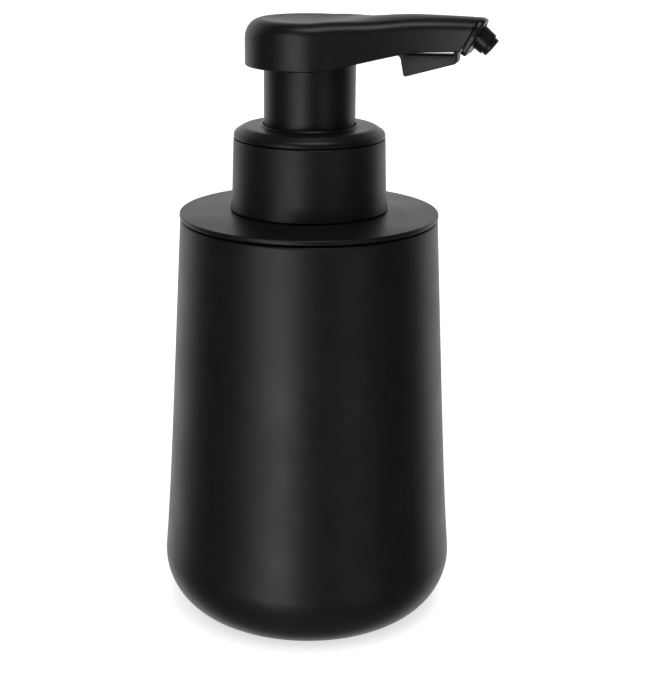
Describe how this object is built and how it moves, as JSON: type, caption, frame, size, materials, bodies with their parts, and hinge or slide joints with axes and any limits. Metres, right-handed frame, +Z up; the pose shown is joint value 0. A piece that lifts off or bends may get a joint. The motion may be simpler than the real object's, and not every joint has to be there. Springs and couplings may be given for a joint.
{
  "type": "soap pump dispenser",
  "caption": "Refillable black tumbler with a lid and screw collar, and a push-down foam pump head with a side spout and stepped nozzle.",
  "frame": {"origin": "centre of the foot pad's flat underside, where the bottle's axis meets the table", "axes": "+Z up along the bottle's axis, +X along the spout, +Y to the left of the spout seen from above behind the head"},
  "size_m": [0.0919, 0.0822, 0.1718],
  "materials": {
    "body_plastic": "satin black, very fine texture",
    "pad_rubber": "matt soft foot",
    "lid_plastic": "satin black",
    "seal_silicone": "milky silicone",
    "collar_plastic": "satin black moulding",
    "cap_plastic": "satin black moulding",
    "gasket_foam": "closed-cell foam",
    "housing_plastic": "milky polypropylene",
    "tube_plastic": "milky polyethylene",
    "ball_steel": "polished stainless",
    "spring_steel": "drawn stainless wire",
    "piston_plastic": "soft polyethylene",
    "stem_plastic": "milky polypropylene",
    "screen_nylon": "woven nylon mesh",
    "sleeve_plastic": "satin black moulding",
    "duct_plastic": "black moulding",
    "head_plastic": "satin black moulding",
    "cover_plastic": "smoother black moulding with a glossy lip",
    "plate_plastic": "satin black moulding",
    "nozzle_plastic": "satin black moulding"
  },
  "bodies": {
    "vessel": {"body_shell": "body_plastic", "foot_pad": "pad_rubber"},
    "lid": {"lid_plate": "lid_plastic", "lid_seal": "seal_silicone"},
    "pump": {"pump_housing": "housing_plastic", "housing_gasket": "gasket_foam", "dip_tube": "tube_plastic", "return_spring": "spring_steel"},
    "collar": {"collar": "collar_plastic", "collar_cap": "cap_plastic"},
    "inlet_valve": {"inlet_ball": "ball_steel"},
    "plunger": {"liquid_piston": "piston_plastic", "piston_stem": "stem_plastic", "air_piston": "piston_plastic", "air_valve": "seal_silicone", "mesh_cartridge": "stem_plastic", "lower_screen": "screen_nylon", "upper_screen": "screen_nylon"},
    "outlet_valve": {"outlet_ball": "ball_steel"},
    "head": {"neck_sleeve": "sleeve_plastic", "spout_duct": "duct_plastic", "head_shell": "head_plastic", "spout_cover": "cover_plastic", "end_plate": "plate_plastic", "nozzle_tip": "nozzle_plastic"}
  },
  "joints": [
    {"name": "lid_lift", "type": "slide", "parent": "vessel", "child": "lid", "axis": [0, 0, 1], "range_m": [0, 0.12]},
    {"name": "pump_rise", "type": "slide", "parent": "lid", "child": "pump", "axis": [0, 0, 1], "range_m": [0, 0.006]},
    {"name": "collar_turn", "type": "hinge", "parent": "pump", "child": "collar", "pos_m": [0, 0, 0.128], "axis": [0, 0, 1], "range_deg": [0, 540]},
    {"name": "inlet_ball_lift", "type": "slide", "parent": "pump", "child": "inlet_valve", "axis": [0, 0, 1], "range_m": [0, 0.0015]},
    {"name": "head_press", "type": "slide", "parent": "pump", "child": "plunger", "axis": [0, 0, -1], "range_m": [0, 0.013], "stiffness_N_per_m": 900, "springref_m": -0.009, "deforming": ["return_spring"]},
    {"name": "outlet_ball_lift", "type": "slide", "parent": "plunger", "child": "outlet_valve", "axis": [0, 0, 1], "range_m": [0, 0.0015]},
    {"name": "head_turn", "type": "hinge", "parent": "plunger", "child": "head", "pos_m": [0, 0, 0.15], "axis": [0, 0, 1], "continuous": true}
  ],
  "couplings": [
    {"joint": "pump_rise", "follows": "collar_turn", "m_per_rad": 0.000636}
  ]
}
